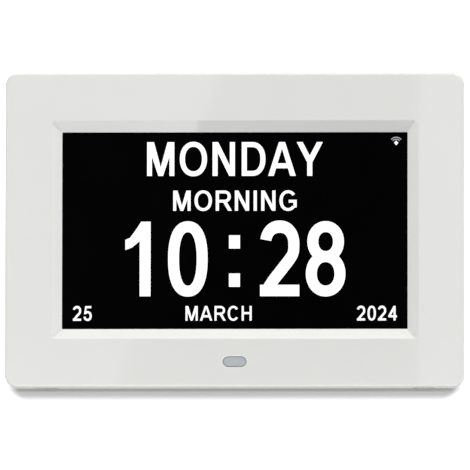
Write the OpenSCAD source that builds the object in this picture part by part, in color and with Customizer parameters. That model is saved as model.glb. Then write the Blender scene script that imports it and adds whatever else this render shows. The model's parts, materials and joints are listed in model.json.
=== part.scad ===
// A desk and wall day clock: a white front frame round a colour display, a
// curved rear cover, a fold-out leg and seven keys on the back.
//
// Every piece is drawn in the case frame: x to the right as seen from the
// front, y from the face (0) into the case, z up along the face from the
// frame's lower edge. stand() then leans the case back on its leg and puts
// the middle of its footprint at the origin, with the floor at z = 0.

/* [Case] */
// Width of the front frame
case_w = 205; // [201:1:212]
// Height of the front frame
case_h = 141.5; // [139:0.5:148]
// Thickness from the face to the flat of the back
case_depth = 24; // [24:0.5:28]
// Corner radius of the front frame, seen from the front
corner_r = 5.5; // [4:0.5:8]
// Rounding of the edge between the face and the side wall
edge_r = 1; // [0.8:0.1:2]
// Wall thickness of both mouldings
wall = 2; // [1.6:0.1:2.2]
// Depth at which the front frame meets the rear cover
parting_y = 6; // [5.5:0.5:6.5]
// Step between the front frame's side and the rear cover's side
shadow_gap = 0.5; // [0.3:0.1:1]
// Depth of the rear cover's straight side before it curves in
skirt_depth = 5; // [4:0.5:6]
// Width of the curved border of the rear cover, seen from behind
cover_run = 16; // [13:1:18]
// Corner radius of the flat of the back
back_corner_r = 10; // [6:1:14]

/* [Screen] */
// Outline of the display module
lcd_size = [165, 100]; // [90:1:170]
// Border of the display under the frame, at its sides and at its top and bottom
lcd_border = [5.3, 5.6]; // [4.6:0.1:8]
// Width of the slope that leads down to the display
slope_w = 5; // [4:0.1:6]
// Depth of the display's opening below the face
recess_depth = 4; // [3:0.5:4.5]
// Corner radius of the slope's outer edge
slope_corner_r = 2; // [1.5:0.5:4]
// Rounding where the face turns into the slope
slope_edge_r = 0.5; // [0.4:0.1:1.4]
// Thickness of the slope's lip at the opening
lip_t = 0.6; // [0.4:0.1:1]
// Depth of the display module
lcd_depth = 4.6; // [4.2:0.1:5]
// Thickness of the display's sheet-metal frame
lcd_sheet = 0.4; // [0.3:0.1:0.6]
// Thickness of the display's glass sandwich
glass_t = 1.6; // [1.2:0.1:2]
// Thickness of the foam gasket when it is compressed
gasket_t = 0.5; // [0.3:0.1:0.8]
// Width of the foam gasket
gasket_w = 3; // [2:0.5:3.5]

/* [Infrared window] */
// Width of the oval window under the display
ir_w = 10.5; // [9:0.1:14]
// Height of the oval window
ir_h = 4.7; // [4:0.1:6]
// Gap round the window, which shows as a dark line
ir_gap = 0.3; // [0.15:0.05:0.4]
// Height of the window's centre, as a share of the border under the display
ir_share = 0.54; // [0.45:0.005:0.55]

/* [Stand] */
// Angle that the clock leans back
lean = 14; // [10:1:16]
// Angle between the open leg and the back
leg_open = 28; // [24:1:32]
// Height of the leg's hinge on the back
hinge_z = 88; // [80:1:92]
// Width of the leg at the hinge
leg_w = 44; // [36:1:46]
// Width of the leg at its tip
leg_tip_w = 36; // [28:1:38]
// Thickness of the leg
leg_t = 4.5; // [4:0.1:4.8]
// Radius of the leg's hinge barrel
barrel_r = 3; // [2.8:0.1:3.2]
// Radius of the steel hinge pin
pin_r = 1.5; // [1.2:0.1:1.8]
// How far the leg's heel reaches above the hinge
heel = 5.5; // [4.5:0.5:6]
// Gap between the leg and the sides of its channel
leg_gap = 0.6; // [0.3:0.1:1]

/* [Keys] */
// Number of keys on the back
key_count = 7; // [7:1:7]
// Distance of the column of keys from the case's side
key_inset = 26.5; // [26:0.5:30]
// Spacing of the keys
key_pitch = 8.6; // [8:0.1:9]
// Width of a key
key_w = 8.4; // [7:0.2:9]
// Height of a key
key_h = 5; // [4:0.2:5.4]
// How far a key stands out of the back
key_proud = 0.8; // [0.4:0.1:1.2]
// Travel of a key
key_travel = 0.5; // [0.3:0.1:0.7]

/* [Boards] */
// Thickness of the circuit boards
board_t = 1.6; // [1.2:0.1:1.8]
// Height of the main board
board_h = 72; // [70:1:74]
// Gap between the display and the main board
board_gap = 2.7; // [2.5:0.1:3]

/* [Sockets] */
// Radius of the hole that takes the power plug's barrel
jack_r = 2.9; // [2.8:0.05:3]
// Radius of the power socket's centre pin
jack_pin_r = 1; // [0.8:0.05:1.25]
// Width of the bay that the sockets open into, from the frame's side
bay_w = 12; // [11:0.5:13]
// Depth of the bay's floor below the face
bay_y = 12; // [11.7:0.1:12.2]

/* [Wall hooks] */
// Distance between the two keyholes
hook_pitch = 104; // [96:1:110]
// Radius of a keyhole's round end
hook_r = 4; // [3.5:0.1:4.5]
// Width of a keyhole's slot
hook_slot_w = 4; // [3:0.2:4.4]

/* [Speaker] */
// Radius of the speaker
speaker_r = 14; // [12:0.5:15]
// Width of a slot in the speaker's grille
grille_slot = 1.6; // [1.2:0.1:2]

/* [Hidden] */
$fn = 48;

// Clearances and small details shared by several pieces
slack = 0.15;      // between pieces that are placed beside each other
pin_slack = 0.02;  // round the hinge pin where it is pressed into the cover
turn_slack = 0.06; // round the hinge pin where the leg turns on it
eps = 0.01;        // overlap of cuts past the face they open
far = 400;         // longer than the clock in any direction
arc_steps = 8;     // straight pieces in each corner of a lofted outline

// Depths, from the face to the back
mid_z = case_h / 2;
cavity_r = corner_r - wall + 0.5;
window_w = lcd_size[0] - 2 * lcd_border[0];
window_h = lcd_size[1] - 2 * lcd_border[1];
lcd_z0 = mid_z - lcd_size[1] / 2;
ir_z = ir_share * lcd_z0;
seat_y = recess_depth + lip_t;
lcd_y = seat_y + gasket_t;
lcd_back_y = lcd_y + lcd_depth;
glass_y = lcd_y + lcd_sheet;
clamp_t = 0.8;
gasket_gap = 1;
board_y = lcd_back_y + board_gap;
board_back_y = board_y + board_t;
skirt_y = parting_y + skirt_depth;
inner_y = case_depth - wall;

// Case screws: one in each corner, at the bottom of a well in the cover
screw_r = 1.2;
screw_head_r = 2.4;
screw_inset = 11;
well_r = 3.4;
well_y = 13;
case_screw_spots = [for (sx = [-1, 1], sz = [-1, 1])
    [sx * (case_w / 2 - screw_inset), mid_z + sz * (mid_z - screw_inset)]];

// Display clamps: four steel tabs over the display's upper and lower edges
clamp_x = 45;
clamp_reach = 7;
clamp_spots = [for (sx = [-1, 1], sz = [-1, 1])
    [sx * clamp_x, mid_z + sz * (lcd_size[1] / 2 + clamp_reach), sz]];

// Leg and its channel
leg_y1 = case_depth - 0.2;
leg_y0 = leg_y1 - leg_t;
hinge_y = leg_y1 - barrel_r;
channel_y = leg_y0 - 1.8;
channel_w = leg_w + 2 * leg_gap;
channel_z1 = hinge_z + heel + 1.5;
hinge_boss_r = pin_r + 2.2;
hinge_boss_l = 3;
pin_l = channel_w + 2 * (wall + hinge_boss_l) - 1;

// Foot pads and the floor, which climbs towards the back in the case frame
pad_l = 10;
pad_x = case_w / 2 - 18.5;
pad_y0 = skirt_y - 2.6;
pad_t = 1.2;
pad_proud = 0.4;
floor_z = shadow_gap - pad_proud;

// The leg meets the floor: heights and distances measured after the lean
phi = leg_open - lean;
drop = skirt_y * sin(lean) - floor_z * cos(lean);
hinge_up = hinge_z * cos(lean) - hinge_y * sin(lean) + drop;
hinge_back = hinge_y * cos(lean) + hinge_z * sin(lean);
shoe_t = 1;
shoe_proud = 0.2;
shoe_up = 8;
leg_floor_l = hinge_up / cos(phi);
leg_l = leg_floor_l - 2.2;
shoe_off = leg_y1 + shoe_proud - hinge_y;
front_reach = edge_r * (cos(lean) + sin(lean) - 1);
back_reach = hinge_back + shoe_off * cos(phi)
    + (hinge_up + shoe_off * sin(phi)) * tan(phi);
stand_y = (front_reach + back_reach) / 2;

// Socket bay
bay_x = case_w / 2 - bay_w;
board_x1 = bay_x - wall - 0.5;
board_x0 = -channel_w / 2 - wall - 10.5;
board_room = board_x1 - channel_w / 2 - wall - 0.6;
board_z0 = mid_z - board_h / 2 - 2.5;
board_z1 = board_z0 + board_h;
bay_z0 = board_z0 + 2;
bay_z1 = board_z1 + 2;
socket_x = bay_x - 0.4;
jack_z = board_z0 + 14;
usb_z = board_z0 + 34;
card_z = board_z0 + 57;
jack_size = [14, 6.9, 9];
usb_size = [14, 5.8, 13.2];
card_size = [28, 3.4, 27];
card_skin = 0.5;
jack_y = board_back_y + jack_size[1] / 2;
jack_depth = 9;
jack_root_l = 2;
jack_root_r = jack_pin_r + 0.5;
usb_shell_t = 0.4;

// Screws that hold the main board on the cover's posts
post_r = 3;
board_spots = [
    [board_x0 + 4, board_z0 + 4],
    [board_x0 + 4, board_z1 - 4],
    [board_x1 - 4, board_z0 + 4],
    [board_x1 - card_size[0] - 3.5, board_z1 - 3.5],
];

// Keys, in a column on the back
key_x = key_inset - case_w / 2;
key_z = mid_z + 16.5;
key_flange = 1;
key_gap = 0.2;
key_top_y = case_depth + key_proud;
switch_size = [6, 3.5, 6];
plunger_r = 1.75;
key_board_w = 14;
key_board_y = board_back_y;
switch_y = key_board_y + board_t;
plunger_y1 = inner_y - 0.1 - key_flange - 0.6;
plunger_l = 2;
key_board_reach = (key_count - 1) / 2 * key_pitch + 5.8;
key_board_h = 2 * key_board_reach + 6.4;
key_board_spots = [[key_x, key_z - key_board_reach], [key_x, key_z + key_board_reach]];
function key_spot(i) = key_z + ((key_count - 1) / 2 - i) * key_pitch;

// Shallow panels on the back
panel_t = 0.3;
key_panel = [22, (key_count - 1) * key_pitch + 14];
bare_panel = [44, 26];
bare_spot = [bay_x - 34, mid_z - 26];

// Wall hooks: a round hole with a slot above it, over a closed pocket
hook_z = case_h - 29.5;
hook_slot_l = 7;
hook_pocket = 4;

// Speaker, grille and vents
speaker_wall = 1.6;
speaker_x = (board_x0 + key_x) / 2;
speaker_z = key_z - key_board_h / 2 - speaker_r - speaker_wall - 0.6;
speaker_plug_z = board_z0 + 12;
speaker_rim = 1.2;
speaker_depth = 6.4;
speaker_post_off = speaker_r + 3.2;
speaker_spots = [for (a = [150, 330])
    [speaker_x + speaker_post_off * cos(a), speaker_z + speaker_post_off * sin(a)]];
grille_count = 7;
grille_pitch = 3.4;
vent_count = 9;
vent_pitch = 7.5;
vent_size = [1.8, 9];

// Infrared receiver behind its window
ir_flange = 1;
ir_edge = 0.5;
ir_sunk = 0.55;
ir_board_y = 7.2;
ir_board_size = [24, 6.8];
ir_board_t = 1.2;
ir_post_x = 9;

// ---------------------------------------------------------------- helpers

// Leans the case back on its leg, with the middle of its footprint at the origin
module stand() {
    translate([0, -stand_y, drop])
        rotate([-lean, 0, 0])
            children();
}

// Turns the leg from folded flat to open
module open_leg() {
    translate([0, hinge_y, hinge_z])
        rotate([leg_open, 0, 0])
            translate([0, -hinge_y, -hinge_z])
                children();
}

// Extrudes an outline drawn as (x, z) from depth y0 to depth y1
module slab(y0, y1) {
    translate([0, y1, 0])
        rotate([90, 0, 0])
            linear_extrude(y1 - y0)
                children();
}

// Moves an outline, or a solid, to (x, z)
module outline_at(spot) translate([spot[0], spot[1]]) children();
module at(spot) translate([spot[0], 0, spot[1]]) children();

// A round bar along y
module post(spot, r, y0, y1) {
    translate([spot[0], y1, spot[1]])
        rotate([90, 0, 0])
            cylinder(r = r, h = y1 - y0);
}

// A solid turned about an axis along y, from a profile drawn as (radius, depth)
module turned(spot) {
    translate([spot[0], 0, spot[1]])
        rotate([-90, 0, 0])
            rotate_extrude()
                children();
}

// A box from its low corner and size, with x and z centred and y from y0
module block(spot, y0, size) {
    translate([spot[0] - size[0] / 2, y0, spot[1] - size[2] / 2])
        cube(size);
}

module rounded_rect(w, h, r) {
    square([w - 2 * r, h], center = true);
    square([w, h - 2 * r], center = true);
    for (sx = [-1, 1], sz = [-1, 1])
        translate([sx * (w / 2 - r), sz * (h / 2 - r)])
            circle(r = r);
}

module stadium(w, h) {
    square([w - h, h], center = true);
    for (sx = [-1, 1])
        translate([sx * (w - h) / 2, 0])
            circle(d = h);
}

function corner_arc(x, z, r, from) = [for (k = [0:arc_steps])
    let (a = from + 90 * k / arc_steps) [x + r * cos(a), z + r * sin(a)]];

function rounded_ring(w, h, r) = concat(
    corner_arc(w / 2 - r, h / 2 - r, r, 0),
    corner_arc(r - w / 2, h / 2 - r, r, 90),
    corner_arc(r - w / 2, r - h / 2, r, 180),
    corner_arc(w / 2 - r, r - h / 2, r, 270));

// A solid through rounded rectangles centred at height z, each [y, w, h, r]
module loft(sections, z = mid_z) {
    n = 4 * (arc_steps + 1);
    last = n * (len(sections) - 1);
    points = [for (s = sections) for (p = rounded_ring(s[1], s[2], s[3]))
        [p[0], s[0], p[1] + z]];
    sides = [for (i = [0:len(sections) - 2], k = [0:n - 1])
        let (a = i * n + k, b = i * n + (k + 1) % n)
        each [[a, b, b + n], [a, b + n, a + n]]];
    caps = [[for (k = [n - 1:-1:0]) k], [for (k = [0:n - 1]) last + k]];
    polyhedron(points, concat(sides, caps));
}

// Section of the case outline at depth y, drawn in from its edge
function case_section(y, inset, r) = [y, case_w - 2 * inset, case_h - 2 * inset, r];

// Points on a smooth curve through the given ones, n steps between each two
function spline(p, n) = let (last = len(p) - 1) concat(
    [for (i = [0:last - 1], k = [0:n - 1])
        let (a = p[max(i - 1, 0)], b = p[i], c = p[i + 1], d = p[min(i + 2, last)],
            t = k / n)
        b + 0.5 * t * ((c - a) + t * ((2 * a - 5 * b + 4 * c - d)
            + t * (3 * b - a - 3 * c + d)))],
    [p[last]]);

// A tube of radius r along points in space; it never runs along the side vector
module tube(points, r, side = [0.48, 0.36, -0.8], sides = 8) {
    last = len(points) - 1;
    along = [for (i = [0:last])
        let (d = points[min(i + 1, last)] - points[max(i - 1, 0)]) d / norm(d)];
    rings = [for (i = [0:last], k = [0:sides - 1])
        let (a = 360 * k / sides, c = cross(along[i], side), u = c / norm(c))
        points[i] + r * (cos(a) * u + sin(a) * cross(along[i], u))];
    skin = [for (i = [0:last - 1], k = [0:sides - 1])
        let (a = i * sides + k, b = i * sides + (k + 1) % sides)
        each [[a, b, b + sides], [a, b + sides, a + sides]]];
    caps = [[for (k = [sides - 1:-1:0]) k],
        [for (k = [0:sides - 1]) last * sides + k]];
    polyhedron(rings, concat(skin, caps));
}

// A band of even thickness along points drawn as (depth, height), x centred
module flat_cable(points, t, w, x) {
    translate([x - w / 2, 0, 0])
        rotate([90, 0, 90])
            linear_extrude(w)
                for (i = [0:len(points) - 2])
                    hull() {
                        translate(points[i]) circle(d = t, $fn = 16);
                        translate(points[i + 1]) circle(d = t, $fn = 16);
                    }
}

// A pan-head screw: head behind the seat at y = 0, shank in front of it
module screw_solid(head_r, shank_r, shank_l) {
    head_h = head_r * 0.62;
    slot = head_r * 0.3;
    difference() {
        union() {
            turned([0, 0])
                polygon([[0, 0], [head_r, 0], [head_r, head_h * 0.55],
                    [head_r * 0.72, head_h], [0, head_h]]);
            post([0, 0], shank_r, -shank_l, head_h * 0.3);
        }
        for (a = [0, 90])
            rotate([0, a, 0])
                translate([-head_r * 0.6, head_h * 0.45, -slot / 2])
                    cube([head_r * 1.2, head_h, slot]);
    }
}

// Screws driven from the back, or from the front when flip is true
module screws(spots, seat_y, head_r, shank_r, shank_l, flip = false) {
    for (s = spots)
        translate([s[0], seat_y, s[1]])
            mirror([0, flip ? 1 : 0, 0])
                screw_solid(head_r, shank_r, shank_l);
}

// ------------------------------------------------------------ front pieces

module front_frame() {
    steps = 6;
    outside = [for (k = [0:steps])
        let (a = 90 * k / steps, inset = edge_r * (1 - sin(a)))
        case_section(edge_r * (1 - cos(a)), inset, corner_r - inset)];
    color("whitesmoke")
        difference() {
            union() {
                difference() {
                    loft(concat(outside, [case_section(parting_y, 0, corner_r)]));
                    frame_cavity();
                }
                frame_posts();
            }
            window_cut();
            ir_opening();
            for (s = case_screw_spots)
                post(s, screw_r + 0.05, wall + 2, well_y);
            for (s = clamp_spots)
                post(s, screw_r + 0.05, wall + 1.5, lcd_back_y + 1);
            for (sx = [-1, 1])
                post([sx * ir_post_x, ir_z], 0.85, wall + 1, ir_board_y + 1);
        }
}

// The hollow behind the face, shallower behind the slope that holds the display
module frame_cavity() {
    seat_w = window_w + 2 * slope_w + 2 * wall;
    seat_h = window_h + 2 * slope_w + 2 * wall;
    slab(seat_y, parting_y + 1)
        cavity_outline();
    slab(wall, seat_y + eps)
        difference() {
            cavity_outline();
            translate([0, mid_z])
                rounded_rect(seat_w, seat_h, slope_corner_r + wall);
        }
}

module cavity_outline() {
    translate([0, mid_z])
        rounded_rect(case_w - 2 * wall, case_h - 2 * wall, cavity_r);
}

// The slope round the display, rounded where it leaves the face
module window_cut() {
    steps = 4;
    tilt = atan2(slope_w - slope_edge_r, recess_depth);
    turn = 90 - tilt;
    round_w = slope_edge_r * sin(turn);
    round_d = slope_edge_r * (1 - cos(turn));
    rim = [for (k = [0:steps])
        let (a = turn * k / steps)
        slope_section(slope_edge_r * (1 - cos(a)), slope_w - slope_edge_r * sin(a),
            slope_corner_r)];
    loft(concat(
        [slope_section(-1, slope_w, slope_corner_r)],
        rim,
        [slope_section(recess_depth, 0, 0.4), slope_section(seat_y + 1, 0, 0.4)]));
}

function window_grown(out) = [window_w + 2 * out, window_h + 2 * out];

function slope_section(y, out, r) = [y, window_w + 2 * out, window_h + 2 * out, r];

// Posts for the screws, and ribs that keep the display in place
module frame_posts() {
    for (s = case_screw_spots)
        post(s, 3.6, wall - eps, well_y - wall);
    for (s = clamp_spots)
        post(s, 3.2, wall - eps, lcd_back_y);
    for (sx = [-1, 1])
        post([sx * ir_post_x, ir_z], 1.8, wall - eps, ir_board_y);
    rib_t = 1.4;
    rib_l = 18;
    for (sx = [-1, 1], sz = [-1, 1]) {
        block([sx * (lcd_size[0] / 2 + slack + rib_t / 2), mid_z + sz * 30],
            wall - eps, [rib_t, lcd_back_y - wall, rib_l]);
        block([sx * 66, mid_z + sz * (lcd_size[1] / 2 + slack + rib_t / 2)],
            wall - eps, [rib_l, lcd_back_y - wall, rib_t]);
    }
}

// The oval hole, with its front edge broken so that it catches the light
module ir_opening() {
    slab(-1, wall + 1)
        outline_at([0, ir_z]) stadium(ir_w, ir_h);
    loft([
        [-0.5, ir_w + 2 * ir_edge + 1, ir_h + 2 * ir_edge + 1, ir_h / 2 + ir_edge + 0.5],
        [ir_edge, ir_w - eps, ir_h - eps, ir_h / 2 - eps],
    ], ir_z);
}

module ir_window() {
    color("lightsteelblue") {
        slab(ir_sunk, wall + eps)
            outline_at([0, ir_z]) stadium(ir_w - 2 * ir_gap, ir_h - 2 * ir_gap);
        slab(wall, wall + ir_flange)
            outline_at([0, ir_z]) stadium(ir_w + 2.4, ir_h + 2.4);
    }
}

module screen_gasket() {
    color("dimgray")
        slab(seat_y, lcd_y)
            translate([0, mid_z])
                difference() {
                    square(window_grown(gasket_gap + gasket_w), center = true);
                    square(window_grown(gasket_gap), center = true);
                }
}

// The display: a stamped frame round the glass, light guide and tray
module lcd_block(y0, y1, inset) {
    slab(y0, y1)
        translate([0, mid_z])
            square([lcd_size[0] - 2 * inset, lcd_size[1] - 2 * inset], center = true);
}

module lcd_frame() {
    color("silver")
        difference() {
            lcd_block(lcd_y, lcd_back_y, 0);
            lcd_block(glass_y, lcd_back_y + 1, lcd_sheet);
            slab(lcd_y - 1, glass_y + 1)
                translate([0, mid_z])
                    square(window_grown(gasket_gap), center = true);
            // slot that lets the ribbon out at the lower edge
            block([0, mid_z - lcd_size[1] / 2], glass_y + glass_t,
                [44, lcd_depth, 2]);
        }
}

module lcd_glass() {
    color("black")
        lcd_block(glass_y, glass_y + glass_t, lcd_sheet + slack);
}

module light_guide() {
    color("aliceblue")
        lcd_block(glass_y + glass_t, lcd_back_y - 0.6, lcd_sheet + 0.8);
}

module backlight_tray() {
    color("gainsboro")
        lcd_block(lcd_back_y - 0.6, lcd_back_y, lcd_sheet + slack);
}

module lcd_clamps() {
    tab = 9;
    over = 3;
    color("silver")
        for (s = clamp_spots)
            difference() {
                block([s[0], s[1] - s[2] * over], lcd_back_y,
                    [tab, clamp_t, 2 * clamp_reach - 1]);
                post(s, screw_r + 0.3, lcd_back_y - 1, lcd_back_y + clamp_t + 1);
            }
}

module clamp_screws() {
    color("dimgray")
        screws(clamp_spots, lcd_back_y + clamp_t, screw_head_r - 0.2, screw_r, 5.5);
}

// The display's ribbon turns round its lower edge and rises to the main board
module lcd_ribbon() {
    edge_z = lcd_z0;
    start_y = glass_y + glass_t + 0.8;
    end_y = lcd_back_y + 1.3;
    bend_r = (end_y - start_y) / 2;
    turn = [for (a = [0:20:180])
        [(start_y + end_y) / 2 - bend_r * cos(a), edge_z - 0.8 - bend_r * sin(a)]];
    color("darkorange")
        flat_cable(concat([[start_y, edge_z + 0.2]], turn,
            [[end_y, board_z0 + 4.4]]), 0.3, 40, 0);
}

module lcd_connector() {
    color("ivory")
        difference() {
            block([0, board_z0 + 6], lcd_back_y + 0.8, [46, board_gap - 0.8, 5]);
            block([0, board_z0 + 4], lcd_back_y + 1, [41, 0.6, 3]);
        }
}

// --------------------------------------------------- infrared receiver

module ir_board() {
    color("darkgreen")
        difference() {
            block([0, ir_z], ir_board_y, [ir_board_size[0], ir_board_t, ir_board_size[1]]);
            for (sx = [-1, 1])
                post([sx * ir_post_x, ir_z], 1.1, ir_board_y - 1, ir_board_y + 2);
        }
}

module ir_receiver() {
    lens_y = wall + ir_flange + 0.3;
    color("darkslategray") {
        block([0, ir_z], lens_y + 1.4, [6, ir_board_y - lens_y - 1.4, 6.4]);
        turned([0, ir_z])
            polygon([[0, lens_y], [1, lens_y + 0.2], [1.9, lens_y + 0.8],
                [2.1, lens_y + 1.4 + eps], [0, lens_y + 1.4 + eps]]);
    }
}

module ir_board_screws() {
    color("dimgray")
        screws([for (sx = [-1, 1]) [sx * ir_post_x, ir_z]], ir_board_y + ir_board_t,
            1.7, 0.8, 4);
}

// Three leads from the receiver's board round the display's connector to the main board
module ir_cable() {
    back = ir_board_y + ir_board_t;
    x1 = 28;
    route = spline([
        [4, back + 0.1, ir_z],
        [4.1, back + 1, ir_z],
        [8, back + 2.2, ir_z + 0.2],
        [18, back + 2.8, ir_z + 1.5],
        [x1 - 3, back + 3, ir_z + 6],
        [x1, board_y - 0.9, board_z0 - 4],
        [x1, board_y - 0.9, board_z0 + 4],
    ], 5);
    last = len(route) - 1;
    color("firebrick")
        for (k = [-1, 0, 1])
            tube([for (i = [0:last])
                let (a = 90 * i / last)
                route[i] + 0.95 * k * [-sin(a), 0, cos(a)]], 0.4);
}

// ------------------------------------------------------------- rear cover

// Sections of the cover, drawn in by the given thickness for its inside
function cover_sections(inside) = let (steps = 8) concat(
    [case_section(parting_y - (inside > 0 ? 1 : 0), shadow_gap + inside,
        corner_r - shadow_gap)],
    [for (k = [0:steps])
        let (a = 90 * k / steps, run = 1 - cos(a))
        case_section(skirt_y + (case_depth - skirt_y - inside) * sin(a),
            shadow_gap + inside + cover_run * run,
            (corner_r - shadow_gap) * (1 - run) + back_corner_r * run)]);

module rear_cover() {
    color("white")
        difference() {
            union() {
                difference() {
                    loft(cover_sections(0));
                    loft(cover_sections(wall));
                }
                intersection() {
                    loft(cover_sections(0));
                    cover_features();
                }
                locating_lip();
            }
            cover_cuts();
        }
}

// A lip that keys the cover into the front frame
module locating_lip() {
    lip_inset = wall + slack;
    lip_wall = 1.2;
    slab(parting_y - 1.5, parting_y + 2.5)
        translate([0, mid_z])
            difference() {
                rounded_rect(case_w - 2 * lip_inset, case_h - 2 * lip_inset,
                    cavity_r - slack);
                rounded_rect(case_w - 2 * (lip_inset + lip_wall),
                    case_h - 2 * (lip_inset + lip_wall), cavity_r - slack - lip_wall);
            }
}

// Liner of the leg's channel and of the socket bay, wells, posts and pockets
module cover_features() {
    block([0, (channel_z1 + wall) / 2], channel_y - wall,
        [channel_w + 2 * wall, far, channel_z1 + wall]);
    for (sx = [-1, 1])
        translate([sx * (channel_w / 2 + wall + hinge_boss_l / 2 - eps), hinge_y, hinge_z])
            rotate([0, 90, 0])
                cylinder(r = hinge_boss_r, h = hinge_boss_l, center = true);
    translate([bay_x - wall, bay_y - wall, bay_z0 - wall])
        cube([far, far, bay_z1 - bay_z0 + 2 * wall]);
    for (s = case_screw_spots)
        post(s, well_r + wall - 0.4, well_y - wall, case_depth);
    for (s = board_spots)
        post(s, post_r, board_back_y, inner_y + eps);
    for (s = key_board_spots)
        post(s, 2.4, switch_y, inner_y + eps);
    for (s = speaker_spots)
        post(s, 2.4, inner_y - speaker_rim, inner_y + eps);
    for (sx = [-1, 1])
        slab(inner_y - hook_pocket - 1.5, inner_y + eps)
            outline_at([sx * hook_pitch / 2, hook_z + hook_slot_l / 2])
                rounded_rect(2 * hook_r + 5, 2 * hook_r + hook_slot_l + 4, 4);
    slab(inner_y - speaker_rim, inner_y + eps)
        outline_at([speaker_x, speaker_z])
            difference() {
                circle(r = speaker_r + speaker_wall);
                circle(r = speaker_r + slack);
            }
}

module cover_cuts() {
    // channel for the leg, open at the bottom
    block([0, channel_z1 / 2 - 5], channel_y, [channel_w, far, channel_z1 + 10]);
    translate([0, hinge_y, hinge_z])
        rotate([0, 90, 0])
            cylinder(r = pin_r + pin_slack, h = pin_l + 2, center = true);
    // socket bay and the openings in its wall
    translate([bay_x, bay_y, bay_z0])
        cube([far, far, bay_z1 - bay_z0]);
    socket_opening(jack_z, jack_size);
    socket_opening(usb_z, usb_size);
    socket_opening(card_z, card_size);
    // wells and holes of the case screws
    for (s = case_screw_spots) {
        post(s, well_r, well_y, case_depth + 1);
        post(s, screw_r + 0.3, well_y - wall - 1, well_y + 1);
    }
    for (s = board_spots)
        post(s, screw_r + 0.05, board_back_y - 1, inner_y - 1.5);
    for (s = key_board_spots)
        post(s, 0.95, switch_y - 1, inner_y - 0.5);
    for (s = speaker_spots)
        post(s, 0.95, inner_y - speaker_rim - 1, inner_y + 0.9);
    // keys
    for (i = [0:key_count - 1])
        slab(inner_y - 1, case_depth + 1)
            outline_at([key_x, key_spot(i)])
                stadium(key_w + 2 * key_gap, key_h + 2 * key_gap);
    // shallow panels: one round the keys, one left bare
    slab(case_depth - panel_t, case_depth + 1)
        outline_at([key_x + key_panel[0] / 2 - 8, key_z])
            rounded_rect(key_panel[0], key_panel[1], 3);
    slab(case_depth - panel_t, case_depth + 1)
        outline_at(bare_spot)
            rounded_rect(bare_panel[0], bare_panel[1], 2);
    // keyholes and their pockets
    for (sx = [-1, 1]) {
        spot = [sx * hook_pitch / 2, hook_z];
        post(spot, hook_r, inner_y - 1, case_depth + 1);
        slab(inner_y - 1, case_depth + 1)
            outline_at(spot + [0, hook_slot_l / 2])
                square([hook_slot_w, hook_slot_l], center = true);
        slab(inner_y - hook_pocket, inner_y)
            outline_at(spot + [0, hook_slot_l / 2])
                rounded_rect(2 * hook_r + 2, 2 * hook_r + hook_slot_l + 1, 3);
    }
    // speaker grille
    for (i = [0:grille_count - 1]) {
        off = (i - (grille_count - 1) / 2) * grille_pitch;
        slab(inner_y - 1, case_depth + 1)
            outline_at([speaker_x, speaker_z + off])
                square([2 * sqrt(pow(speaker_r - 2.5, 2) - off * off), grille_slot],
                    center = true);
    }
    // vents above the leg
    for (i = [0:vent_count - 1])
        slab(inner_y - 1, case_depth + 1)
            outline_at([(i - (vent_count - 1) / 2) * vent_pitch, hook_z + 3])
                square(vent_size, center = true);
    // seats of the foot pads
    for (sx = [-1, 1])
        translate([sx * pad_x - pad_l / 2, pad_y0, -5])
            cube([pad_l, skirt_y - pad_y0, 5 + shadow_gap + pad_t]);
}

// Opening in the bay's wall round a socket that sits on the main board
module socket_opening(z, size) {
    translate([bay_x - wall - 1, board_back_y - 0.2, z - size[2] / 2 - slack])
        cube([wall + 2, size[1] + 0.4, size[2] + 2 * slack]);
}

module case_screws() {
    color("gray")
        screws(case_screw_spots, well_y, screw_head_r, screw_r, 8.5);
}

// Rubber pads under the cover, cut level with the floor
module foot_pads() {
    color("silver")
        difference() {
            for (sx = [-1, 1])
                translate([sx * pad_x - pad_l / 2 + slack, pad_y0 + slack, -5])
                    cube([pad_l - 2 * slack, skirt_y - pad_y0 - 2 * slack,
                        5 + shadow_gap + pad_t]);
            below_floor();
        }
}

// Everything under the floor, drawn in the case frame
module below_floor() {
    translate([0, skirt_y, floor_z])
        rotate([lean, 0, 0])
            translate([-far, -far, -far])
                cube([2 * far, 2 * far, far]);
}

// -------------------------------------------------------------------- leg

module hinge_pin() {
    color("silver")
        translate([0, hinge_y, hinge_z])
            rotate([0, 90, 0])
                cylinder(r = pin_r, h = pin_l, center = true);
}

// The leg's outline, from its heel to its tip, widened all round by grow
module leg_outline(tip_l, grow = 0) {
    tip_r = 5;
    hull() {
        translate([-leg_w / 2 - grow, hinge_z + heel - 1])
            square([leg_w + 2 * grow, 1]);
        for (sx = [-1, 1])
            translate([sx * (leg_tip_w / 2 - tip_r), hinge_z - tip_l + tip_r])
                circle(r = tip_r + grow, $fn = 32);
    }
}

module leg_solid() {
    ridge_l = leg_tip_w - 14;
    slab(leg_y0, leg_y1)
        leg_outline(leg_l);
    for (i = [0:3])
        translate([0, leg_y1 - 0.35, hinge_z - leg_l + shoe_up + 6 + 2.6 * i])
            rotate([0, 90, 0])
                cylinder(r = 0.8, h = ridge_l, center = true);
    translate([0, hinge_y, hinge_z])
        rotate([0, 90, 0])
            cylinder(r = barrel_r, h = leg_w, center = true);
}

// Pockets between the ribs on the side of the leg that faces the case
module leg_pockets() {
    rib_t = 1.6;
    top = hinge_z - barrel_r - 3;
    bottom = hinge_z - leg_l + shoe_up + 3;
    rows = 4;
    row_h = (top - bottom) / rows;
    for (i = [0:rows - 1], k = [-1, 0, 1]) {
        z = bottom + (i + 0.5) * row_h;
        share = (hinge_z - z) / leg_l;
        w = leg_w + (leg_tip_w - leg_w) * share - 6;
        block([k * w / 3, z], leg_y0 - 1, [w / 3 - rib_t, leg_t - 1.8 + 1, row_h - rib_t]);
    }
}

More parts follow.
